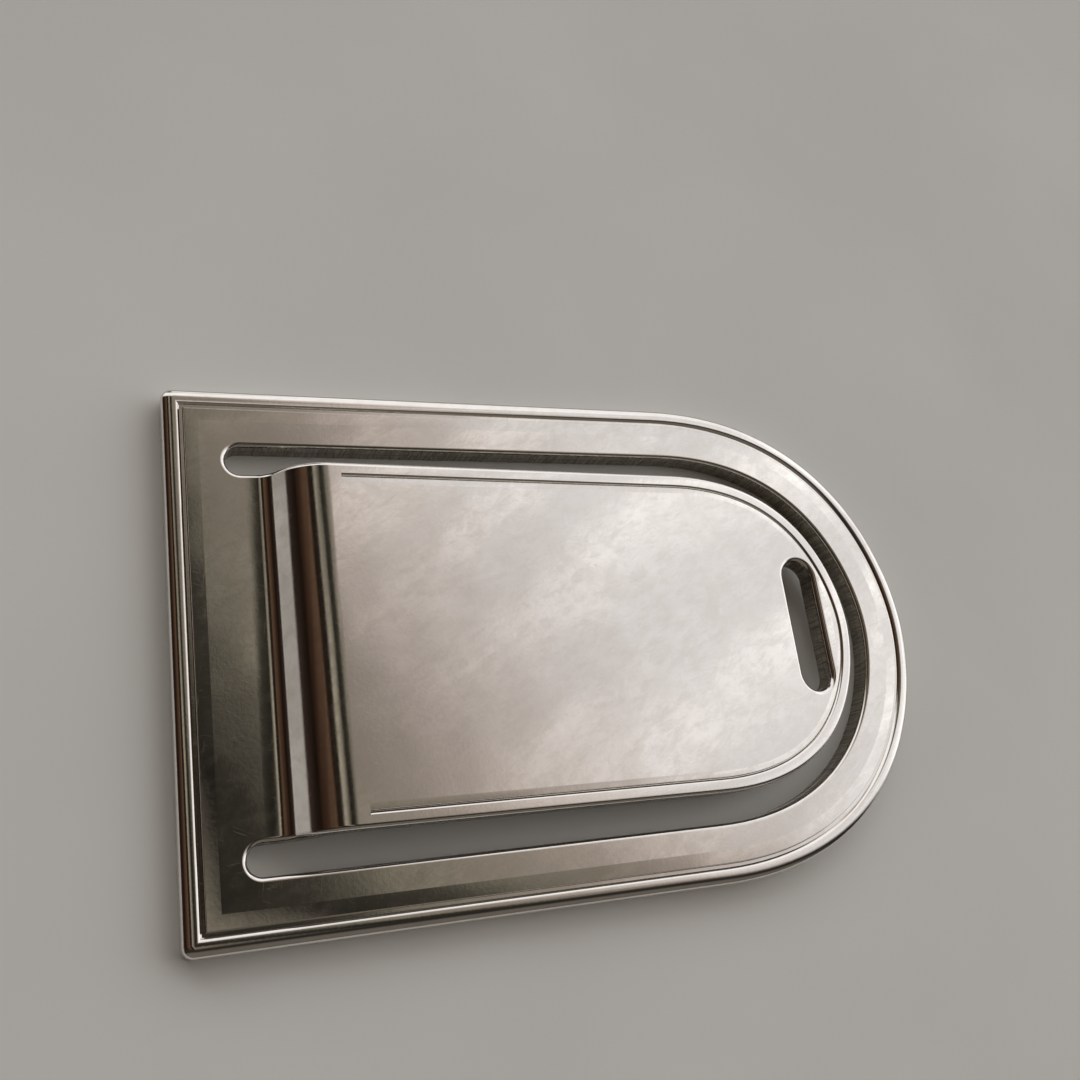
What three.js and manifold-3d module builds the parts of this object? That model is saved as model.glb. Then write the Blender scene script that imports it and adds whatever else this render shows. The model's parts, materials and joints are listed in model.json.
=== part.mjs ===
// A money clip pressed from one sheet of metal: a D-shaped back frame and, freed by a
// U-shaped slot, a tongue of the same outline that steps up over the frame and leans back
// down towards it. Both carry a narrow rim, set off by a V-groove. The sheet is modelled
// as its five working regions, and the tongue turns on a hinge that stands for its flexing.
//
// Millimetres, +Z up. +X runs from the straight end to the rounded tip. The origin is on
// the underside, at the middle of the clip's length and width.

import * as THREE from "three";
import { mergeVertices } from "three/addons/utils/BufferGeometryUtils.js";
import Module from "manifold-3d";

// ---- driving dimensions ------------------------------------------------------------

const SHEET = {
  length: 55, // straight end to tip
  width: 35,
  thickness: 1.7,
};
const NOSE = {
  length: 19.5, // the part of the length that the rounded end takes
  shoulderPull: 15, // handle of the curve where it leaves the straight side
  tipPull: 6.5, // handle of the curve at the tip, across the clip
};
const FRAME_RIM = { width: 1.2, chamfer: 0.35 };
const TONGUE_RIM = { width: 0.95, chamfer: 0.25 };
const SLOT = {
  inset: 4, // outer edge of the sheet to the slot's outer wall
  width: 1.9,
  start: 3.8, // straight end of the clip to the slot's round ends
};
const BEND = {
  root: 5.4, // straight end of the clip to where the sheet turns up
  radius: 2.55, // at the middle of the sheet's thickness
  angle: THREE.MathUtils.degToRad(50),
  ramp: 0.8, // flat stretch between the two bends
};
const DROOP = THREE.MathUtils.degToRad(2.4); // the tongue's lean back towards the frame
const HANG_SLOT = {
  width: 2.6, // along the clip
  fromTip: 2.5, // the tongue's tip to the slot's nearer wall
  endLand: 2.2, // metal between the slot's round ends and the rim
};
const RIM_START = 0.6; // bare sheet between the bend and the start of the tongue's groove
const HINGE_GAP = 0.3; // cut across the leaf, so that it can turn
const SEAM = 0.02; // hairline between two regions of the same sheet that stay together

const NOSE_STEPS = 28; // facets on each half of a rounded end
const ARC_STEPS = 10; // facets on each bend and each round slot end
const SPARE = 1; // how far a cutter stands past what it cuts

// ---- sizes that follow ---------------------------------------------------------------

const halfThickness = SHEET.thickness / 2;
const tongueInset = SLOT.inset + SLOT.width;
const tongueHalfWidth = SHEET.width / 2 - tongueInset;
const slotEndRadius = SLOT.width / 2;
const bendLine = sBendLine();
const hinge = bendLine.end.clone().addScaledVector(bendLine.heading, HINGE_GAP / 2);
const tongueTip = SHEET.length - tongueInset - hinge.x;

// ---- outline ---------------------------------------------------------------------------

// Half of the rounded end, moved in from the sheet's edge by inset, from side to tip.
function nosePoints(inset) {
  const side = SHEET.length - NOSE.length;
  const edge = SHEET.width / 2;
  const curve = new THREE.CubicBezierCurve(
    new THREE.Vector2(side, edge),
    new THREE.Vector2(side + NOSE.shoulderPull, edge),
    new THREE.Vector2(SHEET.length, NOSE.tipPull),
    new THREE.Vector2(SHEET.length, 0),
  );
  const points = [];
  for (let i = 0; i <= NOSE_STEPS; i++) {
    const at = i / NOSE_STEPS;
    const tangent = curve.getTangent(at);
    const inward = new THREE.Vector2(tangent.y, -tangent.x);
    points.push(curve.getPoint(at).addScaledVector(inward, inset));
  }
  return points;
}

// The outline moved in by inset and cut off square at x = start, counterclockwise.
function outline(inset, start) {
  const edge = SHEET.width / 2 - inset;
  const upper = nosePoints(inset);
  const lower = upper.slice(0, -1).map((p) => new THREE.Vector2(p.x, -p.y));
  return [
    new THREE.Vector2(start, -edge),
    ...lower,
    ...upper.reverse(),
    new THREE.Vector2(start, edge),
  ];
}

// Half the width of the outline moved in by inset, at a place along the clip.
function halfWidthAt(inset, x) {
  const points = nosePoints(inset);
  if (x <= points[0].x) return points[0].y;
  const next = points.findIndex((p) => p.x >= x);
  const a = points[next - 1];
  const b = points[next];
  return THREE.MathUtils.mapLinear(x, a.x, b.x, a.y, b.y);
}

// The middle of the sheet's thickness through the S-bend, in the plane of X and Z.
function sBendLine() {
  const { root, radius, angle, ramp } = BEND;
  const lowerCentre = new THREE.Vector2(root, halfThickness + radius);
  const up = new THREE.Vector2(Math.cos(angle), Math.sin(angle));
  const rampStart = new THREE.Vector2(up.y, -up.x).multiplyScalar(radius).add(lowerCentre);
  const rampEnd = rampStart.clone().addScaledVector(up, ramp);
  const upperCentre = rampEnd.clone().add(new THREE.Vector2(up.y, -up.x).multiplyScalar(radius));
  const heading = new THREE.Vector2(Math.cos(DROOP), -Math.sin(DROOP));
  const end = new THREE.Vector2(-heading.y, heading.x).multiplyScalar(radius).add(upperCentre);
  return { lowerCentre, upperCentre, heading, end };
}

// ---- solids ------------------------------------------------------------------------------

const wasm = await Module();
wasm.setup();

function toSolid(geometry) {
  const bare = geometry.clone();
  bare.deleteAttribute("normal");
  bare.deleteAttribute("uv");
  const merged = mergeVertices(bare);
  return new wasm.Manifold(
    new wasm.Mesh({
      numProp: 3,
      vertProperties: merged.attributes.position.array,
      triVerts: merged.index.array,
    }),
  );
}

function toGeometry(solid) {
  const mesh = solid.getMesh();
  const geometry = new THREE.BufferGeometry();
  geometry.setAttribute("position", new THREE.BufferAttribute(mesh.vertProperties, mesh.numProp));
  geometry.setIndex(new THREE.BufferAttribute(mesh.triVerts, 1));
  const faceted = geometry.toNonIndexed();
  faceted.computeVertexNormals();
  return faceted;
}

// A straight-walled solid from z = bottom to z = top.
function prism(points, bottom, top) {
  const geometry = new THREE.ExtrudeGeometry(new THREE.Shape(points), {
    depth: top - bottom,
    bevelEnabled: false,
  });
  return toSolid(geometry.translate(0, 0, bottom));
}

// A plate with its upper edges chamfered, and those of its hole. It is made too deep,
// and the lower chamfers are cut off with the rest of what lies under z = bottom.
function chamferedPlate(points, hole, bottom, top, chamfer) {
  const shape = new THREE.Shape(points);
  if (hole) shape.holes.push(new THREE.Path(hole));
  const geometry = new THREE.ExtrudeGeometry(shape, {
    depth: top - bottom,
    bevelThickness: chamfer,
    bevelSize: chamfer,
    bevelOffset: -chamfer,
    bevelSegments: 1,
  });
  geometry.translate(0, 0, bottom - chamfer);
  const under = new THREE.BoxGeometry(4 * SHEET.length, 4 * SHEET.width, 2 * SHEET.length);
  under.translate(0, 0, bottom - SHEET.length);
  return toSolid(geometry).subtract(toSolid(under));
}

// What is left of a solid past x.
function cutBefore(solid, x) {
  const block = new THREE.BoxGeometry(SHEET.length, 4 * SHEET.width, 4 * SHEET.thickness);
  block.translate(x - SHEET.length / 2, 0, 0);
  return solid.subtract(toSolid(block));
}

// ---- the back frame ------------------------------------------------------------------------

// The opening in the frame: the tongue's own space and the slot round it, with round
// slot ends on either side of the root.
function windowPoints() {
  const outer = outline(SLOT.inset, SLOT.start + slotEndRadius);
  const endCentre = new THREE.Vector2(SLOT.start + slotEndRadius, tongueHalfWidth + slotEndRadius);
  const upperEnd = [];
  for (let i = 1; i <= ARC_STEPS; i++) {
    const turn = Math.PI / 2 + (i / ARC_STEPS) * Math.PI;
    const spoke = new THREE.Vector2(Math.cos(turn), Math.sin(turn));
    upperEnd.push(spoke.multiplyScalar(slotEndRadius).add(endCentre));
  }
  const upperRoot = new THREE.Vector2(BEND.root - SEAM, tongueHalfWidth);
  const upperSide = [...upperEnd, upperRoot];
  const lowerSide = upperSide.map((p) => new THREE.Vector2(p.x, -p.y)).reverse();
  return [...outer, ...upperSide, ...lowerSide.slice(0, -1)];
}

function framePlate() {
  const inset = FRAME_RIM.width + SEAM;
  const field = outline(inset, inset);
  const plate = chamferedPlate(field, null, 0, SHEET.thickness, FRAME_RIM.chamfer);
  return plate.subtract(prism(windowPoints(), -SPARE, SHEET.thickness + SPARE));
}

function frameRim() {
  const inner = outline(FRAME_RIM.width, FRAME_RIM.width).reverse();
  return chamferedPlate(outline(0, 0), inner, 0, SHEET.thickness, FRAME_RIM.chamfer);
}

// ---- the leaf --------------------------------------------------------------------------------

// The S-bend seen from the side, as wide as the tongue.
function springBend() {
  const { radius, angle } = BEND;
  const { lowerCentre, upperCentre } = bendLine;
  const inside = radius - halfThickness;
  const outside = radius + halfThickness;
  const lowerTurn = [-Math.PI / 2, angle - Math.PI / 2];
  const upperTurn = [angle + Math.PI / 2, Math.PI / 2 - DROOP];
  const side = new THREE.Shape();
  side.absarc(lowerCentre.x, lowerCentre.y, outside, lowerTurn[0], lowerTurn[1], false);
  side.absarc(upperCentre.x, upperCentre.y, inside, upperTurn[0], upperTurn[1], true);
  side.absarc(upperCentre.x, upperCentre.y, outside, upperTurn[1], upperTurn[0], false);
  side.absarc(lowerCentre.x, lowerCentre.y, inside, lowerTurn[1], lowerTurn[0], true);
  const geometry = new THREE.ExtrudeGeometry(side, {
    depth: 2 * tongueHalfWidth,
    bevelEnabled: false,
    curveSegments: ARC_STEPS,
  });
  return geometry.rotateX(Math.PI / 2).translate(0, tongueHalfWidth, 0);
}

// The tongue's pieces are made flat, round the hinge line, and leaned as a group.
function tongueOutline(inset, start) {
  const points = outline(tongueInset + inset, hinge.x + start);
  return points.map((p) => new THREE.Vector2(p.x - hinge.x, p.y));
}

function hangSlotPoints() {
  const radius = HANG_SLOT.width / 2;
  const x = tongueTip - HANG_SLOT.fromTip - radius;
  const rimInset = tongueInset + TONGUE_RIM.width;
  const reach = halfWidthAt(rimInset, hinge.x + x) - HANG_SLOT.endLand - radius;
  const path = new THREE.Path();
  path.absarc(x, reach, radius, 0, Math.PI, false);
  path.absarc(x, -reach, radius, Math.PI, 2 * Math.PI, false);
  return path.getPoints(ARC_STEPS);
}

function tonguePlate() {
  const start = HINGE_GAP / 2;
  const field = chamferedPlate(
    tongueOutline(TONGUE_RIM.width + SEAM, start - SPARE),
    null,
    -halfThickness,
    halfThickness,
    TONGUE_RIM.chamfer,
  );
  const neck = [
    new THREE.Vector2(start, -tongueHalfWidth),
    new THREE.Vector2(start + RIM_START, -tongueHalfWidth),
    new THREE.Vector2(start + RIM_START, tongueHalfWidth),
    new THREE.Vector2(start, tongueHalfWidth),
  ];
  return cutBefore(field, start)
    .add(prism(neck, -halfThickness, halfThickness))
    .subtract(prism(hangSlotPoints(), -SHEET.thickness, SHEET.thickness));
}

function tongueRim() {
  const ring = chamferedPlate(
    tongueOutline(0, -2 * SPARE),
    tongueOutline(TONGUE_RIM.width, -SPARE).reverse(),
    -halfThickness,
    halfThickness,
    TONGUE_RIM.chamfer,
  );
  return cutBefore(ring, HINGE_GAP / 2 + RIM_START + SEAM);
}

// ---- assembly ----------------------------------------------------------------------------------

const polished = new THREE.MeshStandardMaterial({
  color: 0xb9b4ad,
  metalness: 1,
  roughness: 0.12,
});
const polishedRim = new THREE.MeshStandardMaterial({
  color: 0xc6c2bb,
  metalness: 1,
  roughness: 0.08,
});

function piece(name, geometry, material) {
  const mesh = new THREE.Mesh(geometry, material);
  mesh.name = name;
  return mesh;
}

const tongue = new THREE.Group();
tongue.add(piece("tongue_plate", toGeometry(tonguePlate()), polished));
tongue.add(piece("tongue_rim", toGeometry(tongueRim()), polishedRim));
tongue.position.set(hinge.x, 0, hinge.y);
tongue.rotation.y = DROOP;

const clip = new THREE.Group();
clip.add(piece("frame_plate", toGeometry(framePlate()), polished));
clip.add(piece("frame_rim", toGeometry(frameRim()), polishedRim));
clip.add(piece("spring_bend", springBend(), polished));
clip.add(tongue);
clip.position.x = -SHEET.length / 2;

export default clip;
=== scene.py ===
"""The looks of a pressed money clip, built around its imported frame.

The clip is one sheet of polished, plated metal. It is shown as four pieces: the face of the
back frame and its bead, and the leaf that springs from the frame and the bead of its tongue.
Frame and leaf meet on a flat cut across the root of the leaf.
"""

import json
import math
from contextlib import contextmanager
from typing import NamedTuple

import bmesh
import bpy
from bpy.props import FloatProperty, FloatVectorProperty, PointerProperty
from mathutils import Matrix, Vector


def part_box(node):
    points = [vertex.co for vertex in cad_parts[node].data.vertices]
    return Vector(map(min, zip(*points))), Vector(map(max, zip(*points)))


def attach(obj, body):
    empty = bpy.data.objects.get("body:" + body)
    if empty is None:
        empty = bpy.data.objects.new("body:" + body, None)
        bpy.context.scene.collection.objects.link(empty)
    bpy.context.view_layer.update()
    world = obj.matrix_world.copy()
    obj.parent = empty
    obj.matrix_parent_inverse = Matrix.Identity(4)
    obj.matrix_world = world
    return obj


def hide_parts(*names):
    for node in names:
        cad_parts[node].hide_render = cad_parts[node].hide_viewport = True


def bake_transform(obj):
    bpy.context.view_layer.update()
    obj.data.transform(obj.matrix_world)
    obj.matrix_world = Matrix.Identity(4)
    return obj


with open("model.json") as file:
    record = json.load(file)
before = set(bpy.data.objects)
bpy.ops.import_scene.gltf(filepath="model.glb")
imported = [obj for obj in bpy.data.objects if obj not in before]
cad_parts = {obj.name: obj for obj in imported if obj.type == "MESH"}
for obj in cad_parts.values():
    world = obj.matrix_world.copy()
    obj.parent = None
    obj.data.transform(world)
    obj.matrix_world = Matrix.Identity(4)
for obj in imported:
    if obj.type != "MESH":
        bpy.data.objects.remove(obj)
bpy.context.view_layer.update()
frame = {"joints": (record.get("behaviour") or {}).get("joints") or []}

bl_info = {
    "name": "Money Clip",
    "version": (1, 0, 0),
    "blender": (4, 5, 0),
    "location": "View3D > Sidebar > Money Clip",
    "description": "Builds a polished money clip and its studio around a fixed frame",
    "category": "Add Mesh",
}

BENCH = 1000  # pieces are modelled at this scale, so that one unit is a millimetre
HINGE = frame["joints"][0]


def bench(metres):
    return metres * BENCH


# ---- the sheet, as the frame gives it, in bench units ------------------------------------

RIM_LOW, RIM_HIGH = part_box("frame_rim")
BEND_LOW, BEND_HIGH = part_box("spring_bend")
LENGTH = bench(RIM_HIGH.x - RIM_LOW.x)
HALF_WIDTH = bench(RIM_HIGH.y)
THICKNESS = bench(RIM_HIGH.z)
TONGUE_HALF_WIDTH = bench(BEND_HIGH.y)
TONGUE_INSET = HALF_WIDTH - TONGUE_HALF_WIDTH
BEND_ROOT = bench(BEND_LOW.x - RIM_LOW.x)
HINGE_X = bench(HINGE["pos_m"][0] - RIM_LOW.x)
HINGE_Z = bench(HINGE["pos_m"][2])

NOSE_STEPS = 40  # facets on each half of the rounded end
TURN_STEPS = 22  # facets on each bend
NECK_END = 8.0  # the root of the leaf is cut longer than it is needed, and trimmed later
SPARE = 1.0  # how far a cutter stands past what it cuts
# Shares of the width and depth of a rim's inner side, and of the riser across the groove.
ROLL = ((0, 0), (0.12, 0.03), (0.3, 0.13), (0.5, 0.31), (0.66, 0.5), (0.8, 0.7), (1, 1))
RISE = ((0, 0), (0.45, 0.62), (0.6, 0.78), (0.8, 0.92), (1, 1))
CRISP = 0.04  # the width over which the bevel turns into the face
UPRIGHT = 0.35  # a wall's normal rises by less than this
HAIR = 0.01  # a difference too small to see, which keeps walls, corners and levels apart
CUT_OVERLAP = 4 * HAIR  # how far the cut from below runs into the cut from above
# Points of the bead's corners that draw together are merged. Half of this has left spikes there.
BEAD_MERGE = 8 * HAIR
TOUCH = 1e-3  # places nearer than this are taken as one
CURVE_TOUCH = 1e-4  # the same, between the ends of a curve's stretches
LEVEL = 0.9  # a level face's normal rises or falls by more than this
MANY_SIDES = 12  # a lid and a base have more corners than this, and the strips round them four
CORNER_STEPS = 7  # facets on a rounded edge or corner
BEAD_STEPS = 9  # facets on the bead's rounded outer side
SLOT_STEPS = 12  # facets on each corner of the frame's opening
HANG_STEPS = 14  # facets on each corner of the hanging slot
SMOOTH_BELOW = math.radians(40)  # an edge that turns by less is shaded smooth


# ---- settings ----------------------------------------------------------------------------


def size(name, description, millimetres):
    return FloatProperty(
        name=name,
        description=description,
        default=millimetres / BENCH,
        min=0.0,
        precision=5,
        subtype="DISTANCE",
        unit="LENGTH",
    )


def angle(name, description, degrees):
    return FloatProperty(
        name=name,
        description=description,
        default=math.radians(degrees),
        subtype="ANGLE",
        unit="ROTATION",
    )


def share(name, description, default):
    return FloatProperty(
        name=name,
        description=description,
        default=default,
        min=0.0,
        max=1.0,
        subtype="FACTOR",
    )


def colour(name, description, default):
    return FloatVectorProperty(
        name=name,
        description=description,
        default=default,
        size=3,
        min=0.0,
        max=1.0,
        subtype="COLOR",
    )


class SheetSettings(bpy.types.PropertyGroup):
    """Sizes of the pressed sheet that the frame's boxes don't give."""

    nose_length: size("Nose length", "Part of the length that the rounded end takes", 19.5)
    shoulder_pull: size("Shoulder pull", "Curve handle where the nose leaves the side", 15.0)
    tip_pull: size("Tip pull", "Curve handle at the tip, across the clip", 6.5)
    slot_inset: size("Slot inset", "Outer edge to the slot's outer wall", 4.0)
    slot_start: size("Slot start", "Straight end to the slot's round ends", 3.8)
    edge_round: size("Edge rounding", "Rounding of the upper edges", 0.32)
    under_round: size("Underside rounding", "Rounding of the lower edges", 0.2)
    seam: size("Seam", "Straight end to the flat cut between frame and leaf", 4.85)


class FrameRimSettings(bpy.types.PropertyGroup):
    """Section of the bead round the back frame and of the groove behind it."""

    crest: size("Crest", "Outer edge to the top of the bead", 0.7)
    shoulder: size("Shoulder", "Height of the bead's rounded outer side", 0.46)
    crown: size("Crown", "Outer edge to where the bead's top starts to fall", 0.84)
    foot: size("Foot", "Outer edge to the near side of the groove's floor", 1.1)
    width: size("Width", "Outer edge to the bottom of the groove", 1.18)
    groove: size("Groove depth", "Depth of the groove below the face", 0.21)
    floor: size("Groove floor", "Width of the groove's floor on the face's side", 0.12)
    riser: size("Riser", "Width of the steep side between the groove and the bevel", 0.1)
    bevel: size("Bevel", "Width of the shallow slope up to the face", 0.85)
    drop: size("Bevel drop", "Depth of the bevel's low side below the face", 0.05)


class TongueSettings(bpy.types.PropertyGroup):
    """The tongue's rim and hanging slot, and the double bend behind it."""

    flank: size("Flank", "Width of the rim's inner side, down to the groove", 0.2)
    width: size("Rim width", "Tongue's edge to the bottom of the groove", 0.98)
    groove: size("Groove depth", "Depth of the groove below the face", 0.18)
    floor: size("Groove floor", "Width of the groove's floor on the face's side", 0.03)
    riser: size("Riser", "Width of the steep side between the groove and the bevel", 0.07)
    bevel: size("Bevel", "Width of the shallow slope up to the face", 0.4)
    drop: size("Bevel drop", "Depth of the bevel's low side below the face", 0.02)
    rim_start: size("Rim start", "Hinge line to the start of the rim", 0.55)
    bend_radius: size("Bend radius", "Radius at the middle of the sheet", 2.55)
    ramp: size("Ramp", "Flat stretch between the two bends", 0.8)
    root_radius: size("Root radius", "Middle radius where the sheet starts to turn up", 10.0)
    root_angle: angle("Root angle", "Turn made at the root radius", 5.0)
    lower_radius: size("Lower radius", "Middle radius of the rest of the lower bend", 2.2)
    bend_angle: angle("Bend angle", "Slope of the ramp", 50.0)
    droop: angle("Droop", "Lean of the tongue back towards the frame", 2.4)
    hang_width: size("Hanging slot width", "Along the clip", 2.6)
    hang_from_tip: size("Hanging slot from tip", "Tongue's tip to the slot's nearer wall", 2.5)
    hang_length: size("Hanging slot length", "Across the clip, over its round ends", 9.9)
    hang_lip: size("Hanging slot lip", "Rounding of the hanging slot's upper edge", 0.4)


class FinishSettings(bpy.types.PropertyGroup):
    """The plated finish."""

    plating: colour("Plating", "Colour of the plating", (0.80, 0.775, 0.75))
    worn: colour("Worn plating", "Colour where handling has dulled it", (0.69, 0.66, 0.625))
    # The two wall colours are dark partly as duller sheared metal and partly as painted shade of
    # the gaps and slots the walls face.
    sheared_and_shaded: colour("Sheared edge", "Colour of the pierced walls", (0.2, 0.182, 0.15))
    sheared_and_shaded_pale: colour("Sheared edge, bright", "Where they still shine", (0.36, 0.335, 0.29))
    gloss: share("Roughness", "Roughness of clean plating", 0.05)
    haze: share("Haze", "Roughness of dulled plating", 0.15)


class StudioSettings(bpy.types.PropertyGroup):
    """The floor and its light."""

    floor: colour("Floor", "Colour of the floor", (0.86, 0.86, 0.84))
    fill: share("Fill", "How much more light falls on the floor than the metal mirrors", 0.26)
    strength: share("Strength", "Share of the light's full strength", 1.0)


# ---- bench tools -------------------------------------------------------------------------


def clear_selection():
    if bpy.context.object and bpy.context.object.mode != "OBJECT":
        bpy.ops.object.mode_set(mode="OBJECT")
    bpy.ops.object.select_all(action="DESELECT")


def take(piece):
    clear_selection()
    piece.select_set(True)
    bpy.context.view_layer.objects.active = piece


@contextmanager
def editing(piece, kind="FACE"):
    take(piece)
    bpy.ops.object.mode_set(mode="EDIT")
    bpy.ops.mesh.select_mode(type=kind)
    yield
    bpy.ops.object.mode_set(mode="OBJECT")


def pick(piece, test):
    """Selects the vertices, edges or faces, as the select mode says, that pass a test."""
    bpy.ops.mesh.select_all(action="DESELECT")
    mesh = bmesh.from_edit_mesh(piece.data)
    kind = next(iter(mesh.select_mode))
    parts = {"VERT": mesh.verts, "EDGE": mesh.edges, "FACE": mesh.faces}[kind]
    found = [part for part in parts if test(part)]
    for part in found:
        part.select_set(True)
    bmesh.update_edit_mesh(piece.data)
    if not found:
        raise RuntimeError(f"nothing to select on {piece.name}")


def many_sided(face):
    return len(face.verts) > MANY_SIDES


def lid(face):
    return face.normal.z > LEVEL and many_sided(face)


def base(face):
    return face.normal.z < -LEVEL and many_sided(face)


def step_in(section):
    """Insets the selected face along a section of (inwards, outwards) points."""
    for before, after in zip(section, section[1:]):
        bpy.ops.mesh.inset(thickness=after[0] - before[0], depth=after[1] - before[1])


def rounded(width, height, steps=CORNER_STEPS):
    """The section of a rounded edge, from its wall to the face beside it."""
    turns = [math.pi / 2 * i / steps for i in range(steps + 1)]
    return [(width * (1 - math.cos(t)), height * math.sin(t)) for t in turns]


def rolled(width, height, steps=CORNER_STEPS):
    """The section of an edge that rolls over, from a level face down to a wall."""
    turns = [math.pi / 2 * i / steps for i in range(steps + 1)]
    return [(width * math.sin(t), height * (math.cos(t) - 1)) for t in turns]


def flank(width, depth):
    """The section of an edge that rolls over into the straight side of a groove."""
    return [(width * along, -depth * down) for along, down in ROLL]


def slope(rim):
    """The section of a groove's floor, the riser beside it, and the bevel up to the face."""
    floor, riser, bevel = bench(rim.floor), bench(rim.riser), bench(rim.bevel)
    groove, drop = bench(rim.groove), bench(rim.drop)
    rise = [(floor + riser * along, (groove - drop) * up) for along, up in RISE]
    edge = floor + riser + bevel
    return [(0, 0), *rise, (edge - CRISP, groove - drop * CRISP / bevel), (edge, groove)]


def merge_near(distance):
    bpy.ops.mesh.remove_doubles(threshold=distance)


def extrude(x=0.0, z=0.0):
    bpy.ops.mesh.extrude_region_move(TRANSFORM_OT_translate={"value": (x, 0, z)})


def score(place, normal):
    """Cuts a line across every face, and removes nothing."""
    bpy.ops.mesh.select_all(action="SELECT")
    bpy.ops.mesh.bisect(plane_co=place, plane_no=normal)


def trim(piece, x):
    """Cuts away all of a piece before x, and closes the cut."""
    with editing(piece):
        bpy.ops.mesh.select_all(action="SELECT")
        bpy.ops.mesh.bisect(plane_co=(x, 0, 0), plane_no=(1, 0, 0), use_fill=True, clear_inner=True)


def apply_modifier(piece, kind, **values):
    take(piece)
    modifier = piece.modifiers.new(kind.title(), kind)
    for key, value in values.items():
        setattr(modifier, key, value)
    bpy.ops.object.modifier_apply(modifier=modifier.name)


def combine(piece, other, operation):
    apply_modifier(piece, "BOOLEAN", object=other, operation=operation, solver="EXACT")
    bpy.data.objects.remove(other)


def lay(piece, turn=0.0, x=0.0, z=0.0):
    """Turns a piece about the Y axis, moves it, and puts its place in its mesh."""
    piece.rotation_euler.y = turn
    piece.location = (x, 0, z)
    take(piece)
    bpy.ops.object.transform_apply(location=True, rotation=True, scale=True)


def shade_sheared_walls(piece, material):
    """Gives a piece's upright walls, which a punch has cut, their own duller finish. Its dark
    colour is partly painted shade of the gaps and slots the walls face.
    """
    piece.data.materials.append(material)
    for face in piece.data.polygons:
        if abs(face.normal.z) < UPRIGHT:
            face.material_index = 1


def settle(piece):
    """Brings a finished piece from the bench to its place in the frame, at real size."""
    piece.scale = [1 / BENCH] * 3
    piece.location.x = RIM_LOW.x
    take(piece)
    bpy.ops.object.transform_apply(location=True, rotation=True, scale=True)


def polish(piece, material):
    """Flat faces stay flat mirrors, and the rounded edges take all of the turn.

    It has to come before settle: at real size the faces are too small to be weighted.
    """
    take(piece)
    bpy.ops.object.shade_smooth_by_angle(angle=SMOOTH_BELOW)
    apply_modifier(piece, "WEIGHTED_NORMAL", keep_sharp=True, weight=50)
    piece.data.materials.clear()
    piece.data.materials.append(material)


# ---- the sheet's outlines ----------------------------------------------------------------


def outline_face(name, sheet):
    """The sheet's outline as one level face, drawn as a curve and made a mesh."""
    clear_selection()
    bpy.ops.curve.primitive_bezier_curve_add()
    drawn = bpy.context.object
    drawn.name = name
    side = LENGTH - bench(sheet.nose_length)
    shoulder = side + bench(sheet.shoulder_pull)
    pull = bench(sheet.tip_pull)
    knots = [
        ((0, -HALF_WIDTH), None, None),
        ((side, -HALF_WIDTH), None, (shoulder, -HALF_WIDTH)),
        ((LENGTH, 0), (LENGTH, -pull), (LENGTH, pull)),
        ((side, HALF_WIDTH), (shoulder, HALF_WIDTH), None),
        ((0, HALF_WIDTH), None, None),
    ]
    spline = drawn.data.splines[0]
    spline.bezier_points.add(len(knots) - len(spline.bezier_points))
    spline.use_cyclic_u = True
    drawn.data.dimensions = "3D"
    drawn.data.resolution_u = NOSE_STEPS
    for point, (place, left, right) in zip(spline.bezier_points, knots):
        point.co = (*place, 0)
        point.handle_left_type = "FREE" if left else "VECTOR"
        point.handle_right_type = "FREE" if right else "VECTOR"
        if left:
            point.handle_left = (*left, 0)
        if right:
            point.handle_right = (*right, 0)
    take(drawn)
    bpy.ops.object.convert(target="MESH")
    piece = bpy.context.object
    with editing(piece, "VERT"):
        bpy.ops.mesh.select_all(action="SELECT")
        merge_near(CURVE_TOUCH)
        bpy.ops.mesh.edge_face_add()
    face_up(piece)
    return piece


def face_up(piece):
    with editing(piece):
        bpy.ops.mesh.select_all(action="SELECT")
        if piece.data.polygons[0].normal.z < 0:
            bpy.ops.mesh.flip_normals()


def inner_face(name, sheet, inset):
    """The sheet's outline moved in by inset, as one level face."""
    piece = outline_face(name, sheet)
    with editing(piece):
        bpy.ops.mesh.select_all(action="SELECT")
        bpy.ops.mesh.inset(thickness=inset)
        bpy.ops.mesh.select_all(action="INVERT")
        bpy.ops.mesh.delete(type="FACE")
    return piece


def window_face(name, sheet, spread):
    """The frame's opening as one level face, its edge moved out by spread.

    It is the inner outline with its straight end moved, less the root of the leaf, and
    the four corners at that end are rounded into the two slot ends.
    """
    start = bench(sheet.slot_start) - spread
    neck = TONGUE_HALF_WIDTH - spread
    radius = (TONGUE_INSET - bench(sheet.slot_inset)) / 2 + spread
    inset = bench(sheet.slot_inset) - spread
    piece = inner_face(name, sheet, inset)
    with editing(piece, "VERT"):
        pick(piece, lambda vertex: vertex.co.x < inset + TOUCH)
        bpy.ops.transform.translate(value=(start - inset, 0, 0))

    def in_neck(place):
        return place.x < NECK_END + TOUCH and abs(place.y) < neck + TOUCH

    with editing(piece):
        score((NECK_END, 0, 0), (1, 0, 0))
        score((0, neck, 0), (0, 1, 0))
        score((0, -neck, 0), (0, 1, 0))
        pick(piece, lambda face: all(in_neck(vertex.co) for vertex in face.verts))
        bpy.ops.mesh.delete(type="FACE")
        bpy.ops.mesh.select_all(action="SELECT")
        bpy.ops.mesh.dissolve_faces()
    with editing(piece, "VERT"):
        pick(piece, lambda vertex: vertex.co.x < start + TOUCH)
        bpy.ops.mesh.bevel(offset=radius, affect="VERTICES", segments=SLOT_STEPS)
        bpy.ops.mesh.select_all(action="SELECT")
        merge_near(TOUCH)
    return piece


# ---- cutters -----------------------------------------------------------------------------


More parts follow.
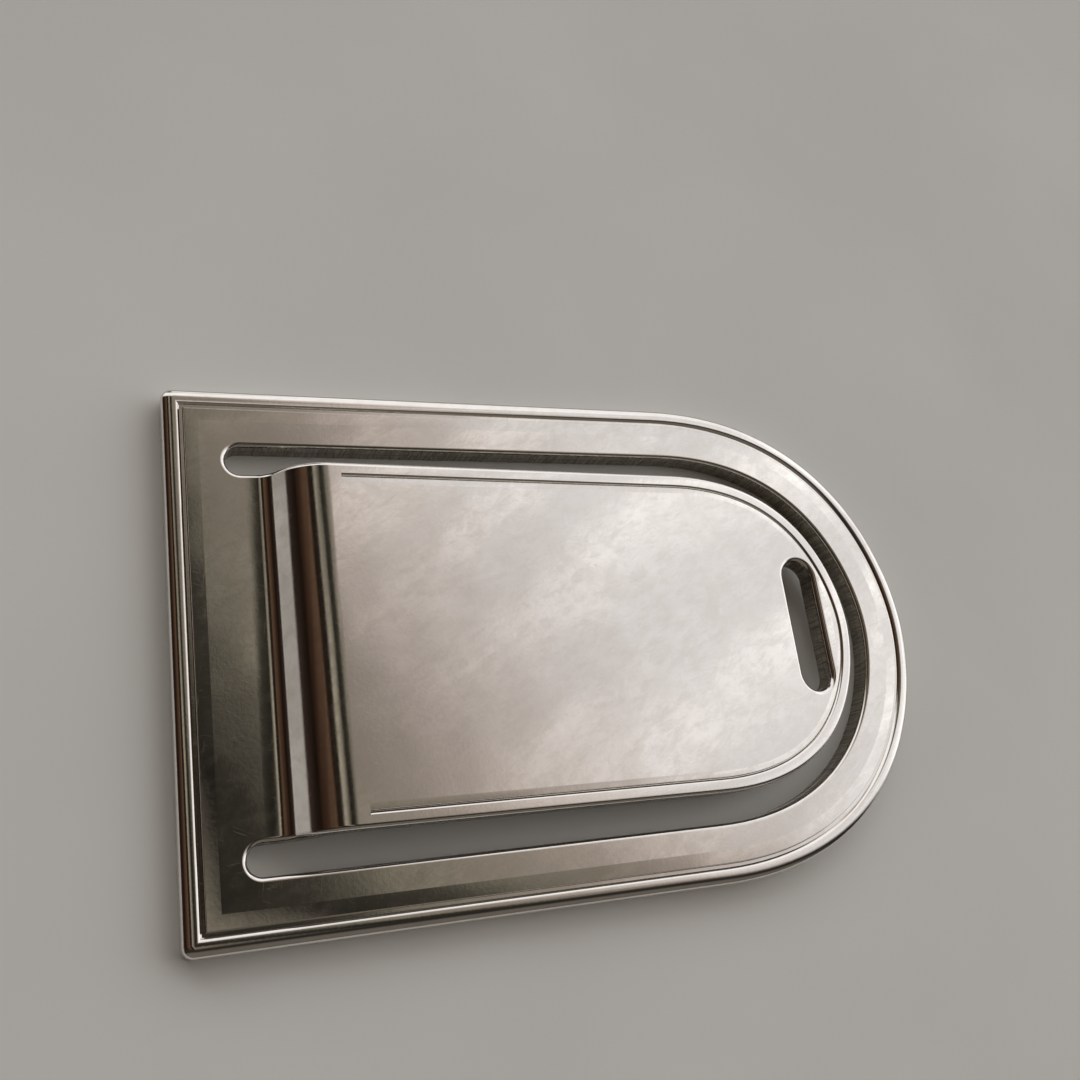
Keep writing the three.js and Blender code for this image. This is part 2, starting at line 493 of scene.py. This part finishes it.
def cutter(face, lip, depth):
    """A cutter that goes down to a depth below its face, past a lip rounded inwards."""
    with editing(face):
        bpy.ops.mesh.select_all(action="SELECT")
        extrude(z=SPARE)
        pick(face, base)
        step_in(rolled(lip, -lip))
        extrude(z=lip - depth)
    return face


def cut_opening(piece, make_face, over, under, x=0.0, top=THICKNESS):
    """Cuts an opening through a sheet from both sides, each with its rounded lip.

    The cut from below is a hair narrower, so that no wall of one lies on the other's.
    """
    upper = cutter(make_face(over), over, THICKNESS / 2)
    lower = cutter(make_face(under - HAIR), under, THICKNESS / 2 + CUT_OVERLAP)
    lower.rotation_euler.x = math.pi
    for tool, z in ((upper, top), (lower, top - THICKNESS)):
        lay(tool, x=x, z=z)
        combine(piece, tool, "DIFFERENCE")


def hanging_face(tongue, spread):
    """The hanging slot as one level face, its edge moved out by spread."""
    width = bench(tongue.hang_width) + 2 * spread
    length = bench(tongue.hang_length) + 2 * spread
    clear_selection()
    bpy.ops.mesh.primitive_plane_add(size=1)
    piece = bpy.context.object
    piece.scale = (width, length, 1)
    lay(piece)
    with editing(piece, "VERT"):
        bpy.ops.mesh.select_all(action="SELECT")
        bpy.ops.mesh.bevel(offset=width / 2, affect="VERTICES", segments=HANG_STEPS)
        bpy.ops.mesh.select_all(action="SELECT")
        merge_near(TOUCH)
    return piece


def root_block(sheet):
    """A cutter for the part of the leaf's root that stands past the seam."""
    start = bench(sheet.seam)
    clear_selection()
    bpy.ops.mesh.primitive_cube_add(size=1)
    piece = bpy.context.object
    piece.scale = (NECK_END + SPARE - start, 2 * TONGUE_HALF_WIDTH + SPARE / 2, 4 * THICKNESS)
    lay(piece, x=(NECK_END + SPARE + start) / 2)
    return piece


# ---- the pieces --------------------------------------------------------------------------


def frame_bead(sheet, rim):
    """The bead round the back frame, from its outer wall to the bottom of the groove."""
    crest, width, under = bench(rim.crest), bench(rim.width), bench(sheet.under_round)
    shoulder, groove = bench(rim.shoulder), bench(rim.groove)
    piece = outline_face("frame_bead", sheet)
    with editing(piece, "VERT"):
        pick(piece, lambda vertex: vertex.co.x < TOUCH)
        bpy.ops.mesh.bevel(offset=crest + HAIR, affect="VERTICES", segments=CORNER_STEPS)
    lay(piece, z=under)
    with editing(piece):
        bpy.ops.mesh.select_all(action="SELECT")
        extrude(z=THICKNESS - under - shoulder)
        pick(piece, lid)
        step_in(rounded(crest, shoulder, BEAD_STEPS))
        merge_near(BEAD_MERGE)
        step_in([(0, 0), (bench(rim.crown) - crest, -HAIR)])
        step_in(flank(bench(rim.foot) - bench(rim.crown), groove - HAIR))
        step_in([(0, 0), (width - bench(rim.foot), 0)])
        pick(piece, base)
        step_in(rounded(under, under))
        step_in([(0, 0), (crest - under, 0)])
        merge_near(BEAD_MERGE)
        step_in([(0, 0), (width - crest, 0)])
        pick(piece, many_sided)
        bpy.ops.mesh.bridge_edge_loops()
    return piece


def frame_face(sheet, rim):
    """The face of the back frame inside its bead, with the opening for the tongue."""
    groove = bench(rim.groove)
    piece = inner_face("frame_face", sheet, bench(rim.width))
    with editing(piece):
        bpy.ops.mesh.select_all(action="SELECT")
        extrude(z=THICKNESS - groove)
        pick(piece, lid)
        step_in(slope(rim))
    lips = bench(sheet.edge_round), bench(sheet.under_round)
    cut_opening(piece, lambda spread: window_face("window", sheet, spread), *lips)
    combine(piece, root_block(sheet), "DIFFERENCE")
    return piece


def heading(turn):
    """Direction in the plane of X and Z, and the one square to it, downwards."""
    along = Vector((math.cos(turn), math.sin(turn)))
    return along, Vector((along.y, -along.x))


def ramp_end(tongue):
    """Where the ramp meets the upper bend, and that bend's centre."""
    radius = bench(tongue.bend_radius)
    along, down = heading(tongue.bend_angle)
    lower = Vector((BEND_ROOT, THICKNESS / 2 + radius))
    end = lower + radius * down + bench(tongue.ramp) * along
    return end, end + radius * down


def soft_root(tongue):
    """Start of the leaf's turn, its two centres, and the point where it meets the ramp.

    The turn starts wide and tightens, and it ends on the same ramp as a plain one would.
    """
    wide, tight = bench(tongue.root_radius), bench(tongue.lower_radius)
    first, second = heading(tongue.root_angle)[1], heading(tongue.bend_angle)[1]
    run = wide * (first - Vector((0, -1))) + tight * (second - first)
    end, _ = ramp_end(tongue)
    steepness = math.tan(tongue.bend_angle)
    back = (end.y - THICKNESS / 2 - run.y) / steepness
    start = Vector((end.x - back - run.x, THICKNESS / 2))
    wide_centre = start + Vector((0, wide))
    tight_centre = wide_centre + (wide - tight) * first
    return start, wide_centre, tight_centre, start + run


def turn_about(centre, turn):
    """Spins the selected face about a line across the clip."""
    axis = {"center": (centre.x, 0, centre.y), "axis": (0, 1, 0)}
    bpy.ops.mesh.spin(steps=TURN_STEPS, angle=-turn, **axis)


def leaf_section(sheet):
    """The leaf's own section at the seam, as one upright face with rounded corners."""
    clear_selection()
    bpy.ops.mesh.primitive_plane_add(size=1)
    piece = bpy.context.object
    piece.name = "leaf"
    piece.scale = (THICKNESS, 2 * TONGUE_HALF_WIDTH, 1)
    lay(piece, turn=math.pi / 2, x=bench(sheet.seam), z=THICKNESS / 2)
    edge, under = bench(sheet.edge_round), bench(sheet.under_round)
    with editing(piece, "VERT"):
        pick(piece, lambda vertex: vertex.co.z > THICKNESS / 2)
        bpy.ops.mesh.bevel(offset=edge, affect="VERTICES", segments=CORNER_STEPS)
        pick(piece, lambda vertex: vertex.co.z < TOUCH)
        bpy.ops.mesh.bevel(offset=under, affect="VERTICES", segments=CORNER_STEPS)
    return piece


def leaf_root(sheet, tongue):
    """The leaf's section, run from the seam through both bends to the start of the rim."""
    start, wide_centre, tight_centre, ramp_start = soft_root(tongue)
    ramp_stop, upper = ramp_end(tongue)
    along, down = heading(-tongue.droop)
    past_hinge = Vector((HINGE_X, HINGE_Z)) + bench(tongue.rim_start) * along
    level = past_hinge - (upper - bench(tongue.bend_radius) * down)
    piece = leaf_section(sheet)
    with editing(piece):
        bpy.ops.mesh.select_all(action="SELECT")
        extrude(x=start.x - bench(sheet.seam))
        turn_about(wide_centre, -tongue.root_angle)
        turn_about(tight_centre, tongue.root_angle - tongue.bend_angle)
        extrude(*(ramp_stop - ramp_start))
        turn_about(upper, tongue.bend_angle + tongue.droop)
        extrude(*level)
    return piece


def leaf(sheet, tongue):
    """The bent root and the face of the tongue, as one piece."""
    groove = bench(tongue.groove)
    piece = inner_face("tongue_face", sheet, TONGUE_INSET + bench(tongue.width))
    lay(piece, x=-HINGE_X, z=-THICKNESS / 2)
    with editing(piece):
        bpy.ops.mesh.select_all(action="SELECT")
        extrude(z=THICKNESS - groove)
        pick(piece, lid)
        step_in(slope(tongue))
    tip = LENGTH - TONGUE_INSET - HINGE_X
    middle = tip - bench(tongue.hang_from_tip) - bench(tongue.hang_width) / 2
    lips = bench(tongue.hang_lip), bench(sheet.under_round)
    cut_opening(piece, lambda spread: hanging_face(tongue, spread), *lips, middle, THICKNESS / 2)
    trim(piece, bench(tongue.rim_start) / 2)
    lay(piece, turn=tongue.droop, x=HINGE_X, z=HINGE_Z)
    root = leaf_root(sheet, tongue)
    combine(root, piece, "UNION")
    return root


def tongue_bead(sheet, tongue):
    """The bead round the tongue, from its outer wall to the bottom of the groove."""
    edge, under = bench(sheet.edge_round), bench(sheet.under_round)
    width, side, groove = bench(tongue.width), bench(tongue.flank), bench(tongue.groove)
    piece = inner_face("tongue_bead", sheet, TONGUE_INSET)
    lay(piece, x=-HINGE_X, z=under - THICKNESS / 2)
    with editing(piece):
        bpy.ops.mesh.select_all(action="SELECT")
        extrude(z=THICKNESS - under - edge)
        pick(piece, lid)
        step_in(rounded(edge, edge))
        step_in([(0, 0), (width - edge - side, 0)])
        step_in(flank(side, groove))
        pick(piece, base)
        step_in(rounded(under, under))
        step_in([(0, 0), (width - under, 0)])
        pick(piece, many_sided)
        bpy.ops.mesh.bridge_edge_loops()
    trim(piece, bench(tongue.rim_start))
    lay(piece, turn=tongue.droop, x=HINGE_X, z=HINGE_Z)
    return piece


# ---- nodes -------------------------------------------------------------------------------

# A Mix node's sockets for numbers, vectors and colours share their names, so these are places.
MIX_COLOUR_INPUTS = (6, 7)
MIX_COLOUR_OUTPUT = 2


class Pattern(NamedTuple):
    """Noise over a surface, and the two levels of it between which a look fades in."""

    scale: float
    detail: float
    roughness: float
    distortion: float
    low: float
    high: float


def add_node(tree, kind, inputs, **values):
    """A new node. An input is a socket to join to, or a value to set."""
    made = tree.nodes.new(kind)
    for key, value in values.items():
        setattr(made, key, value)
    for key, value in inputs.items():
        if isinstance(value, bpy.types.NodeSocket):
            tree.links.new(value, made.inputs[key])
        else:
            made.inputs[key].default_value = value
    return made


def reckon(tree, operation, first, second=0.0):
    return add_node(tree, "ShaderNodeMath", {0: first, 1: second}, operation=operation).outputs[0]


def ramp_between(tree, value, low, high, to_low=0.0, to_high=1.0, smooth=True):
    kind = "SMOOTHSTEP" if smooth else "LINEAR"
    inputs = {"Value": value, 1: low, 2: high, 3: to_low, 4: to_high}
    return add_node(tree, "ShaderNodeMapRange", inputs, interpolation_type=kind).outputs[0]


def mix_colours(tree, amount, first, second):
    made = add_node(tree, "ShaderNodeMix", {"Factor": amount}, data_type="RGBA")
    for number, value in zip(MIX_COLOUR_INPUTS, (first, second)):
        socket = made.inputs[number]
        if isinstance(value, bpy.types.NodeSocket):
            tree.links.new(value, socket)
        else:
            socket.default_value = (*value, 1)
    return made.outputs[MIX_COLOUR_OUTPUT]


def noise(tree, place, scale, detail, roughness, distortion=0.0):
    inputs = {"Vector": place, "Scale": scale, "Detail": detail, "Roughness": roughness}
    inputs["Distortion"] = distortion
    return add_node(tree, "ShaderNodeTexNoise", inputs).outputs["Fac"]


def spread(tree, place, pattern, to_low=0.0, to_high=1.0):
    """A pattern over a surface, from to_low where it is absent to to_high where it is full."""
    grain = noise(tree, place, pattern.scale, pattern.detail, pattern.roughness, pattern.distortion)
    return ramp_between(tree, grain, pattern.low, pattern.high, to_low, to_high)


def stretched(tree, place, direction, lengths):
    """Coordinates turned to a direction, with the length of one unit along each axis."""
    inputs = {"Vector": place, "Rotation": (0, 0, direction), "Scale": lengths}
    return add_node(tree, "ShaderNodeMapping", inputs, vector_type="TEXTURE").outputs[0]


def millimetres(tree):
    """A piece's own coordinates, in millimetres."""
    metres = add_node(tree, "ShaderNodeTexCoord", {}).outputs["Object"]
    return add_node(tree, "ShaderNodeMapping", {"Vector": metres, "Scale": (BENCH,) * 3}).outputs[0]


def relief(tree, height, depth, below=None, sunk=False):
    """A bump of a depth in millimetres, laid over the one below it."""
    inputs = {"Strength": 1.0, "Distance": depth / BENCH, "Height": height}
    if below is not None:
        inputs["Normal"] = below
    return add_node(tree, "ShaderNodeBump", inputs, invert=sunk).outputs[0]


def new_material(name, values):
    """A new material with some of its shader's values set. Gives its tree and shader too."""
    material = bpy.data.materials.new(name)
    material.use_nodes = True
    shader = material.node_tree.nodes["Principled BSDF"]
    for key, value in values.items():
        shader.inputs[key].default_value = value
    return material, material.node_tree, shader


# ---- the finish --------------------------------------------------------------------------

SMUDGES = Pattern(scale=0.35, detail=5.0, roughness=0.62, distortion=0.6, low=0.42, high=0.74)
MOTTLING = Pattern(scale=1.0, detail=6.0, roughness=0.66, distortion=0.3, low=0.34, high=0.7)
SCRATCHED = Pattern(scale=0.5, detail=2.0, roughness=0.5, distortion=0.0, low=0.35, high=0.65)
PITS = Pattern(scale=5.5, detail=1.0, roughness=0.5, distortion=0.0, low=0.75, high=0.79)
TEARS = Pattern(scale=1.0, detail=3.0, roughness=0.6, distortion=0.0, low=0.34, high=0.68)
WIPED = (math.radians(28), (1.5, 0.75, 1.0))  # direction and lengths of the mottling
TORN = (0.0, (0.16, 0.16, 2.2))  # direction and lengths of the tears, which run upright
# Scale, detail and roughness of the heights of the pressing's waves, the grain and a hairline.
WAVES = (0.16, 1.0, 0.5)
GRAIN = (3.4, 4.0, 0.7)
HAIRLINE = (1.0, 1.0, 0.4)
HAIRLINE_FADE = 0.06
MARK_DEPTH = 0.0006  # millimetres, of scratches and pits
TEAR_DEPTH = 0.004  # millimetres, of the fine lines in a pierced wall
SHEARED_ROUGHNESS = (0.2, 0.34)  # where the plating still shines, and where it is torn
# Direction of the scratches in degrees, how fine and how long they are, and their share.
SCRATCHES = (
    (38, 15.0, 0.3, 0.3),
    (-24, 18.0, 0.45, 0.28),
    (81, 16.0, 0.35, 0.28),
    (8, 20.0, 0.6, 0.29),
)


def hairlines(tree, place, direction, across, along, kept):
    """Fine straight scratches: noise drawn out along one direction, only its peaks kept."""
    drawn_out = stretched(tree, place, direction, (1 / along, 1 / across, 1 / across))
    peaks = noise(tree, drawn_out, *HAIRLINE)
    return ramp_between(tree, peaks, 1 - kept, 1 - kept + HAIRLINE_FADE)


def scratches(tree, place):
    """Hairlines in a few directions, each only in some places."""
    lines = None
    for direction, across, along, kept in SCRATCHES:
        found = hairlines(tree, place, math.radians(direction), across, along, kept)
        lines = found if lines is None else reckon(tree, "MAXIMUM", lines, found)
    return reckon(tree, "MULTIPLY", lines, spread(tree, place, SCRATCHED))


def plating(name, finish, wear, waviness, grain):
    """Polished plating with hairlines, dulled patches and the slight waves of a pressing."""
    material, tree, shader = new_material(name, {"Metallic": 1.0})
    place = millimetres(tree)
    lines = scratches(tree, place)
    smudged = spread(tree, place, SMUDGES, to_high=wear)
    mottled = spread(tree, stretched(tree, place, *WIPED), MOTTLING, to_high=wear)
    dulled = reckon(tree, "MAXIMUM", reckon(tree, "MAXIMUM", smudged, mottled), lines)
    tint = mix_colours(tree, dulled, finish.plating, finish.worn)
    tree.links.new(tint, shader.inputs["Base Color"])
    rough = ramp_between(tree, dulled, 0, 1, finish.gloss, finish.haze, smooth=False)
    tree.links.new(rough, shader.inputs["Roughness"])
    waved = relief(tree, noise(tree, place, *WAVES), waviness)
    grained = relief(tree, noise(tree, place, *GRAIN), grain, waved)
    marks = reckon(tree, "MAXIMUM", lines, spread(tree, place, PITS))
    marked = relief(tree, marks, MARK_DEPTH, grained, sunk=True)
    tree.links.new(marked, shader.inputs["Normal"])
    return material


def sheared_shaded_edge(name, finish):
    """The pierced walls: thin plating over metal that the punch has torn in fine lines. Both
    colours are dark partly as painted shade of the gaps and slots the walls face.
    """
    material, tree, shader = new_material(name, {"Metallic": 1.0})
    place = stretched(tree, millimetres(tree), *TORN)
    torn = noise(tree, place, TEARS.scale, TEARS.detail, TEARS.roughness, TEARS.distortion)
    dull = ramp_between(tree, torn, TEARS.low, TEARS.high)
    # Both wall colours are dark partly as painted shade; the noise between them is the torn metal's
    # own.
    tint = mix_colours(tree, dull, finish.sheared_and_shaded_pale, finish.sheared_and_shaded)
    tree.links.new(tint, shader.inputs["Base Color"])
    rough = ramp_between(tree, dull, 0, 1, *SHEARED_ROUGHNESS)
    tree.links.new(rough, shader.inputs["Roughness"])
    tree.links.new(relief(tree, torn, TEAR_DEPTH), shader.inputs["Normal"])
    return material


# Each finish: what makes it, and for plating how strongly it is dulled and the heights of its
# waves and grain in millimetres.
FINISHES = {
    "face_plating": (plating, 0.8, 0.05, 0.0022),
    "bead_plating": (plating, 0.5, 0.02, 0.003),
    # The walls' finish, dark partly as painted shade of the gaps and slots.
    "sheared_shaded_edge": (sheared_shaded_edge,),
}


def finish_of(name):
    """The named finish, made when it is first asked for."""
    maker, *values = FINISHES[name]
    made = bpy.data.materials.get(name)
    return made or maker(name, bpy.context.scene.clip_finish, *values)


# ---- the studio --------------------------------------------------------------------------

# The light by direction, from level at the straight end (0) over the top (0.5) to level
# at the tip (1), and how far it leans across the clip.
SKY = (
    (0.0, (0.42, 0.40, 0.37)),
    (0.025, (0.36, 0.33, 0.30)),
    (0.05, (0.035, 0.022, 0.018)),
    (0.18, (0.012, 0.007, 0.004)),
    (0.26, (0.05, 0.026, 0.016)),
    (0.36, (0.12, 0.072, 0.044)),
    (0.385, (0.02, 0.012, 0.008)),
    (0.44, (0.02, 0.016, 0.012)),
    (0.465, (0.36, 0.32, 0.25)),
    (0.50, (0.24, 0.215, 0.165)),
    (0.535, (0.018, 0.016, 0.013)),
    (0.575, (0.04, 0.036, 0.027)),
    (0.60, (0.22, 0.20, 0.155)),
    (0.635, (0.33, 0.28, 0.235)),
    (0.665, (0.68, 0.60, 0.55)),
    (0.72, (1.12, 1.09, 1.08)),
    (0.86, (1.35, 1.33, 1.32)),
    (0.89, (1.4, 1.38, 1.36)),
    (0.92, (1.4, 1.38, 1.36)),
    (0.95, (1.1, 1.08, 1.06)),
    (1.0, (0.7, 0.68, 0.65)),
)
SKY_LEAN = 0.19
# The lights and flags beside the clip, and how far across a direction points where they
# come in and fade out.
FAR_LIGHT = (1.14, 1.12, 1.1)
FAR_IN = (0.56, 0.72)
FAR_OUT = (0.98, 0.9)
NEAR_FLAG = (0.028, 0.024, 0.02)
NEAR_FLAG_IN = (-0.12, -0.4)
NEAR_LIGHT = (0.14, 0.125, 0.105)
NEAR_LIGHT_IN = (-0.5, -0.7)
BACKDROP = (0.41, 0.40, 0.385)
STREAKS = Pattern(scale=1.6, detail=3.0, roughness=0.55, distortion=0.0, low=0.35, high=0.65)
STREAKED = (math.radians(38), (0.8, 0.11, 1.0))  # direction and lengths of the streaks
STREAK_LIGHT = (0.74, 1.14)  # share of the light in the dark and the bright streaks
CLOUDS = Pattern(scale=30.0, detail=3.0, roughness=0.5, distortion=0.0, low=0.3, high=0.7)
CLOUD_GAIN = 1.06  # how much paler the clouded places of the floor are
FLOOR_SIZE = 8  # metres
FLOOR_DROP = 1e-5  # metres, so that the floor and the underside don't share a plane
MATT = {"Roughness": 0.9, "Specular IOR Level": 0.1}
# Place in millimetres, turn in degrees, and lens and sensor in millimetres.
CAMERA = {
    "place": (-34.69, -17.28, 72.35),
    "turn": (20.606, -21.896, -8.189),
    "lens": 38.78,
    "sensor": 36,
}
CLIP_START = 0.005  # metres


def streaked(tree, way, light):
    """The light, changed a little in long soft streaks, as through a curtain."""
    soft = spread(tree, stretched(tree, way, *STREAKED), STREAKS, *STREAK_LIGHT)
    scaled = add_node(tree, "ShaderNodeVectorMath", {0: light}, operation="SCALE")
    tree.links.new(soft, scaled.inputs["Scale"])
    return scaled.outputs[0]


def sky_band(tree, x, y, z):
    """The sky's shade by direction, before its streaks and the lights beside the clip."""
    turn = reckon(tree, "ARCTAN2", z, reckon(tree, "MULTIPLY", x, -1))
    across = reckon(tree, "MULTIPLY", y, reckon(tree, "MULTIPLY", z, SKY_LEAN))
    leaned = reckon(tree, "ADD", reckon(tree, "DIVIDE", turn, math.pi), across)
    ramp = add_node(tree, "ShaderNodeValToRGB", {0: leaned})
    shades = ramp.color_ramp
    for place, shade in SKY:
        element = shades.elements.new(place)
        element.color = (*shade, 1)
    shades.elements.remove(shades.elements[0])
    shades.elements.remove(shades.elements[-1])
    return ramp.outputs[0]


def mirrored_light(tree):
    """What the metal mirrors: the streaked sky, a far light, and flags on the near side."""
    way = add_node(tree, "ShaderNodeTexCoord", {}).outputs["Generated"]
    x, y, z = add_node(tree, "ShaderNodeSeparateXYZ", {0: way}).outputs
    fading_in = ramp_between(tree, y, *FAR_IN)
    far = reckon(tree, "MULTIPLY", fading_in, ramp_between(tree, y, *FAR_OUT))
    lit = mix_colours(tree, far, streaked(tree, way, sky_band(tree, x, y, z)), FAR_LIGHT)
    flag = mix_colours(tree, ramp_between(tree, y, *NEAR_LIGHT_IN), NEAR_FLAG, NEAR_LIGHT)
    return mix_colours(tree, ramp_between(tree, y, *NEAR_FLAG_IN), lit, flag)


def studio_sky(studio):
    """Soft light from the tip's side and the far side. The camera sees a plain backdrop."""
    world = bpy.data.worlds.new("studio")
    bpy.context.scene.world = world
    world.use_nodes = True
    tree = world.node_tree
    tree.nodes.clear()
    rays = add_node(tree, "ShaderNodeLightPath", {}).outputs
    lift = reckon(tree, "MULTIPLY", rays["Is Diffuse Ray"], studio.strength * studio.fill)
    strength = reckon(tree, "ADD", lift, studio.strength)
    inputs = {"Color": mirrored_light(tree), "Strength": strength}
    mirrored = add_node(tree, "ShaderNodeBackground", inputs).outputs[0]
    inputs = {"Color": (*BACKDROP, 1), "Strength": 1.0}
    plain = add_node(tree, "ShaderNodeBackground", inputs).outputs[0]
    inputs = {0: rays["Is Camera Ray"], 1: mirrored, 2: plain}
    chosen = add_node(tree, "ShaderNodeMixShader", inputs).outputs[0]
    add_node(tree, "ShaderNodeOutputWorld", {"Surface": chosen})


def floor_cloth(studio):
    """A plain pale floor, with only the faintest unevenness."""
    clear_selection()
    bpy.ops.mesh.primitive_plane_add(size=FLOOR_SIZE, location=(0, 0, -FLOOR_DROP))
    floor = bpy.context.object
    floor.name = "floor"
    material, tree, shader = new_material("pale_floor", MATT)
    place = add_node(tree, "ShaderNodeTexCoord", {}).outputs["Object"]
    paler = [min(1.0, CLOUD_GAIN * part) for part in studio.floor]
    tint = mix_colours(tree, spread(tree, place, CLOUDS), tuple(studio.floor), paler)
    tree.links.new(tint, shader.inputs["Base Color"])
    floor.data.materials.append(material)


def camera():
    data = bpy.data.cameras.new("camera")
    data.sensor_width = CAMERA["sensor"]
    data.lens = CAMERA["lens"]
    data.clip_start = CLIP_START
    held = bpy.data.objects.new("camera", data)
    held.location = Vector(CAMERA["place"]) / BENCH
    held.rotation_euler = [math.radians(turn) for turn in CAMERA["turn"]]
    bpy.context.scene.collection.objects.link(held)
    bpy.context.scene.camera = held


# ---- the add-on --------------------------------------------------------------------------


class CLIP_OT_frame_bead(bpy.types.Operator):
    """Makes the bead that runs round the back frame"""

    bl_idname = "clip.frame_bead"
    bl_label = "Frame bead"

    def execute(self, context):
        piece = frame_bead(context.scene.clip_sheet, context.scene.clip_frame_rim)
        polish(piece, finish_of("bead_plating"))
        settle(piece)
        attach(piece, "frame")
        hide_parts("frame_rim")
        return {"FINISHED"}


class CLIP_OT_frame_face(bpy.types.Operator):
    """Makes the face of the back frame, with its opening"""

    bl_idname = "clip.frame_face"
    bl_label = "Frame face"

    def execute(self, context):
        piece = frame_face(context.scene.clip_sheet, context.scene.clip_frame_rim)
        polish(piece, finish_of("face_plating"))
        # Walls get the sheared finish, dark partly as painted shade.
        shade_sheared_walls(piece, finish_of("sheared_shaded_edge"))
        settle(piece)
        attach(piece, "frame")
        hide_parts("frame_plate")
        return {"FINISHED"}


def flex(piece):
    """Puts the place of a piece of the leaf into its mesh."""
    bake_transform(piece)


class CLIP_OT_leaf(bpy.types.Operator):
    """Makes the bent spring leaf and the face of the tongue"""

    bl_idname = "clip.leaf"
    bl_label = "Leaf"

    def execute(self, context):
        scene = context.scene
        piece = leaf(scene.clip_sheet, scene.clip_tongue)
        polish(piece, finish_of("face_plating"))
        # Walls get the sheared finish, dark partly as painted shade.
        shade_sheared_walls(piece, finish_of("sheared_shaded_edge"))
        settle(piece)
        flex(piece)
        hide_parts("spring_bend", "tongue_plate")
        return {"FINISHED"}


class CLIP_OT_tongue_bead(bpy.types.Operator):
    """Makes the bead that runs round the tongue"""

    bl_idname = "clip.tongue_bead"
    bl_label = "Tongue bead"

    def execute(self, context):
        scene = context.scene
        piece = tongue_bead(scene.clip_sheet, scene.clip_tongue)
        polish(piece, finish_of("bead_plating"))
        # Walls get the sheared finish, dark partly as painted shade.
        shade_sheared_walls(piece, finish_of("sheared_shaded_edge"))
        settle(piece)
        flex(piece)
        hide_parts("tongue_rim")
        return {"FINISHED"}


class CLIP_OT_stage(bpy.types.Operator):
    """Sets the floor, the light and the camera"""

    bl_idname = "clip.stage"
    bl_label = "Stage"

    def execute(self, context):
        studio = context.scene.clip_studio
        context.scene.view_settings.view_transform = "Standard"
        floor_cloth(studio)
        studio_sky(studio)
        camera()
        return {"FINISHED"}


class CLIP_PT_panel(bpy.types.Panel):
    """The clip's pieces and their sizes"""

    bl_idname = "CLIP_PT_panel"
    bl_label = "Money Clip"
    bl_space_type = "VIEW_3D"
    bl_region_type = "UI"
    bl_category = "Money Clip"

    def draw(self, context):
        for operator in OPERATORS:
            self.layout.operator(operator.bl_idname)
        for name, group in SETTINGS.items():
            box = self.layout.box()
            for field in group.__annotations__:
                box.prop(getattr(context.scene, name), field)


SETTINGS = {
    "clip_sheet": SheetSettings,
    "clip_frame_rim": FrameRimSettings,
    "clip_tongue": TongueSettings,
    "clip_finish": FinishSettings,
    "clip_studio": StudioSettings,
}
OPERATORS = (
    CLIP_OT_frame_bead,
    CLIP_OT_frame_face,
    CLIP_OT_leaf,
    CLIP_OT_tongue_bead,
    CLIP_OT_stage,
)


def register():
    for made in (*SETTINGS.values(), *OPERATORS, CLIP_PT_panel):
        bpy.utils.register_class(made)
    for name, group in SETTINGS.items():
        setattr(bpy.types.Scene, name, PointerProperty(type=group))


def unregister():
    for name in SETTINGS:
        delattr(bpy.types.Scene, name)
    for made in (CLIP_PT_panel, *reversed(OPERATORS), *SETTINGS.values()):
        bpy.utils.unregister_class(made)


def main():
    register()
    bpy.ops.clip.frame_bead()
    bpy.ops.clip.frame_face()
    bpy.ops.clip.leaf()
    bpy.ops.clip.tongue_bead()
    bpy.ops.clip.stage()


if __name__ == "__main__":
    main()
